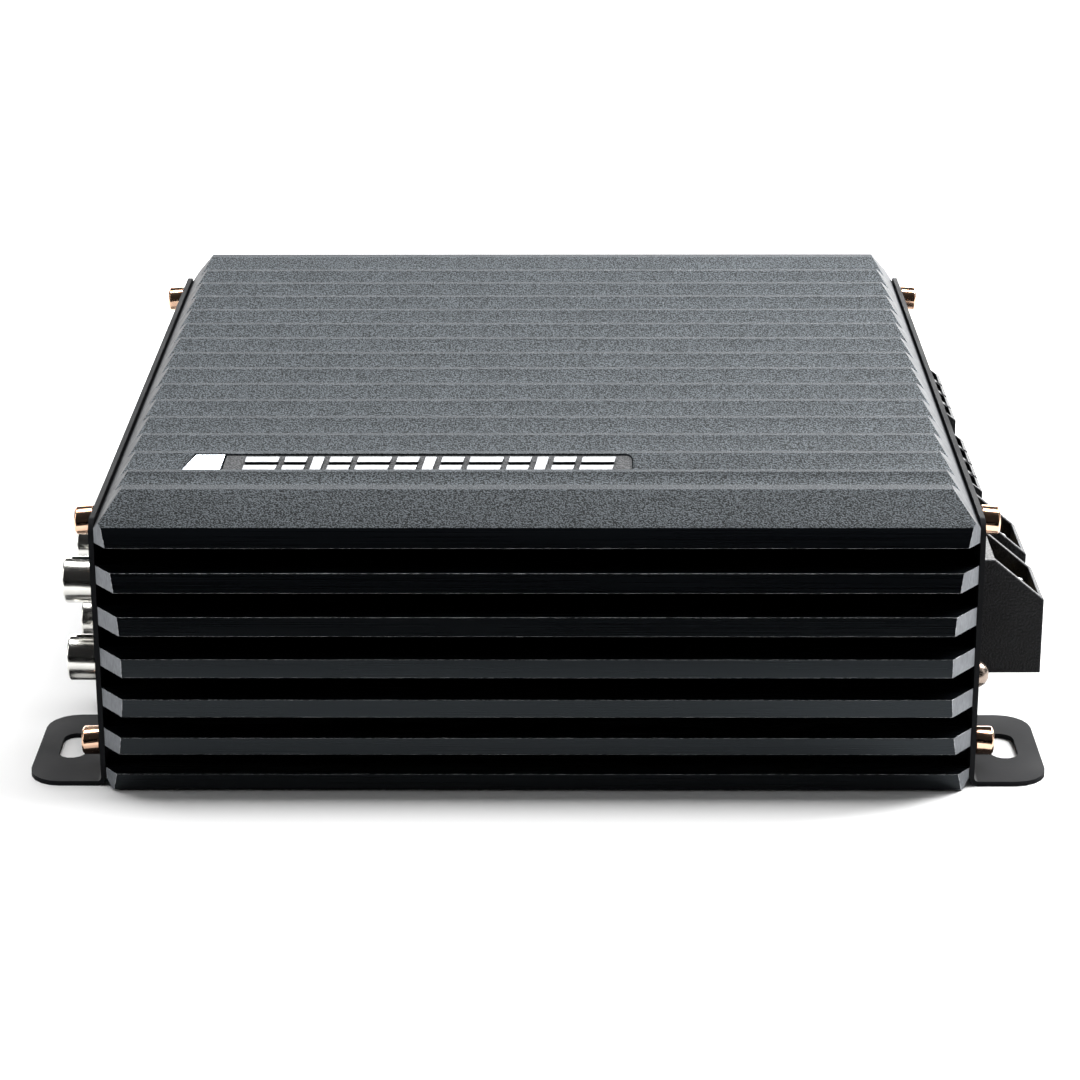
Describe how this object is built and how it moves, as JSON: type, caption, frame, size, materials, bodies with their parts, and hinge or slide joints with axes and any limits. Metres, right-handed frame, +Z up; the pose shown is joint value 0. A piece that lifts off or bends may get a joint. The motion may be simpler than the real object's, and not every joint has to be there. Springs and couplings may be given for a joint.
{
  "type": "car audio amplifier",
  "caption": "Compact car amplifier: finned black extruded body with a saw-tooth ribbed top, bent end plates with slotted feet, signal jacks at one end and terminals at the other.",
  "frame": {"origin": "under the middle of the body, on the surface its feet stand on", "axes": "+X from the signal end to the power end, +Y from the front to the back, +Z up through the ribbed top"},
  "size_m": [0.1934, 0.1816, 0.0586],
  "materials": {
    "powder_coat": "black-grey crinkle powder coat on the ribbed top, satin black on the fins, bare milled bevels",
    "sheet_paint": "satin black paint",
    "circuit_board": "green solder mask with pads and tracks",
    "strip_grey": "smooth mid grey",
    "silver_trim": "satin silver",
    "copper_plate": "bright rose copper plating",
    "nickel_plate": "bright nickel plating",
    "zinc_steel": "zinc plated",
    "black_plastic": "moulded, slightly glossy",
    "brass": "turned and milled brass",
    "indicator_lens": "tinted clear lens",
    "copper_winding": "enamelled copper wire",
    "capacitor_sleeve": "shrunk plastic sleeve"
  },
  "bodies": {
    "amplifier": {"heatsink": "powder_coat", "left_end_plate": "sheet_paint", "right_end_plate": "sheet_paint", "bottom_cover": "sheet_paint", "circuit_board": "circuit_board", "name_strip": "strip_grey", "name_strip_tile": "silver_trim", "end_screw_left_front_lower": "copper_plate", "end_screw_left_front_upper": "copper_plate", "end_screw_left_rear_lower": "copper_plate", "end_screw_left_rear_upper": "copper_plate", "end_screw_right_front_lower": "copper_plate", "end_screw_right_front_upper": "copper_plate", "end_screw_right_rear_lower": "copper_plate", "end_screw_right_rear_upper": "copper_plate", "panel_screw": "nickel_plate", "rca_shell_front_lower": "nickel_plate", "rca_shell_front_upper": "nickel_plate", "rca_shell_rear_lower": "nickel_plate", "rca_shell_rear_upper": "nickel_plate", "cover_screw_left_front": "zinc_steel", "cover_screw_left_rear": "zinc_steel", "cover_screw_right_front": "zinc_steel", "cover_screw_right_rear": "zinc_steel", "front_clamp_bar": "zinc_steel", "rear_clamp_bar": "zinc_steel", "rca_housing": "black_plastic", "gain_control": "black_plastic", "crossover_control": "black_plastic", "bass_boost_control": "black_plastic", "filter_switch": "black_plastic", "ground_terminal": "black_plastic", "battery_terminal": "black_plastic", "front_speaker_terminal": "black_plastic", "rear_speaker_terminal": "black_plastic", "front_transistor_left": "black_plastic", "front_transistor_right": "black_plastic", "rear_transistor_left": "black_plastic", "rear_transistor_right": "black_plastic", "ground_clamp": "brass", "battery_clamp": "brass", "indicator_light": "indicator_lens", "power_transformer": "copper_winding", "filter_choke": "copper_winding", "reservoir_capacitor_front": "capacitor_sleeve", "reservoir_capacitor_rear": "capacitor_sleeve"},
    "gain_adjuster": {"gain_adjuster": "black_plastic"},
    "crossover_adjuster": {"crossover_adjuster": "black_plastic"},
    "bass_boost_adjuster": {"bass_boost_adjuster": "black_plastic"},
    "filter_slider": {"filter_slider": "silver_trim"},
    "ground_clamp_screw": {"ground_clamp_screw": "zinc_steel"},
    "battery_clamp_screw": {"battery_clamp_screw": "zinc_steel"},
    "front_speaker_screw_1": {"front_speaker_screw_1": "zinc_steel"},
    "front_speaker_screw_2": {"front_speaker_screw_2": "zinc_steel"},
    "front_speaker_screw_3": {"front_speaker_screw_3": "zinc_steel"},
    "front_speaker_screw_4": {"front_speaker_screw_4": "zinc_steel"},
    "rear_speaker_screw_1": {"rear_speaker_screw_1": "zinc_steel"},
    "rear_speaker_screw_2": {"rear_speaker_screw_2": "zinc_steel"},
    "rear_speaker_screw_3": {"rear_speaker_screw_3": "zinc_steel"},
    "rear_speaker_screw_4": {"rear_speaker_screw_4": "zinc_steel"}
  },
  "joints": [
    {"name": "gain_turn", "type": "hinge", "parent": "amplifier", "child": "gain_adjuster", "pos_m": [-0.0825, -0.022, 0.0205], "axis": [-1, 0, 0], "range_deg": [-140, 140]},
    {"name": "crossover_turn", "type": "hinge", "parent": "amplifier", "child": "crossover_adjuster", "pos_m": [-0.0825, 0.002, 0.0205], "axis": [-1, 0, 0], "range_deg": [-140, 140]},
    {"name": "bass_boost_turn", "type": "hinge", "parent": "amplifier", "child": "bass_boost_adjuster", "pos_m": [-0.0825, 0.026, 0.0205], "axis": [-1, 0, 0], "range_deg": [-140, 140]},
    {"name": "filter_slide", "type": "slide", "parent": "amplifier", "child": "filter_slider", "axis": [0, 1, 0], "range_m": [-0.0025, 0.0025]},
    {"name": "ground_clamp_turn", "type": "hinge", "parent": "amplifier", "child": "ground_clamp_screw", "pos_m": [0.09135, -0.0582, 0.0316], "axis": [0, 0, 1], "continuous": true},
    {"name": "battery_clamp_turn", "type": "hinge", "parent": "amplifier", "child": "battery_clamp_screw", "pos_m": [0.09135, -0.0334, 0.0316], "axis": [0, 0, 1], "continuous": true},
    {"name": "front_speaker_turn_1", "type": "hinge", "parent": "amplifier", "child": "front_speaker_screw_1", "pos_m": [0.08845, -0.00665, 0.0276], "axis": [0, 0, 1], "continuous": true},
    {"name": "front_speaker_turn_2", "type": "hinge", "parent": "amplifier", "child": "front_speaker_screw_2", "pos_m": [0.08845, 0.00165, 0.0276], "axis": [0, 0, 1], "continuous": true},
    {"name": "front_speaker_turn_3", "type": "hinge", "parent": "amplifier", "child": "front_speaker_screw_3", "pos_m": [0.08845, 0.00995, 0.0276], "axis": [0, 0, 1], "continuous": true},
    {"name": "front_speaker_turn_4", "type": "hinge", "parent": "amplifier", "child": "front_speaker_screw_4", "pos_m": [0.08845, 0.01825, 0.0276], "axis": [0, 0, 1], "continuous": true},
    {"name": "rear_speaker_turn_1", "type": "hinge", "parent": "amplifier", "child": "rear_speaker_screw_1", "pos_m": [0.08845, 0.04055, 0.0276], "axis": [0, 0, 1], "continuous": true},
    {"name": "rear_speaker_turn_2", "type": "hinge", "parent": "amplifier", "child": "rear_speaker_screw_2", "pos_m": [0.08845, 0.04885, 0.0276], "axis": [0, 0, 1], "continuous": true},
    {"name": "rear_speaker_turn_3", "type": "hinge", "parent": "amplifier", "child": "rear_speaker_screw_3", "pos_m": [0.08845, 0.05715, 0.0276], "axis": [0, 0, 1], "continuous": true},
    {"name": "rear_speaker_turn_4", "type": "hinge", "parent": "amplifier", "child": "rear_speaker_screw_4", "pos_m": [0.08845, 0.06545, 0.0276], "axis": [0, 0, 1], "continuous": true}
  ]
}
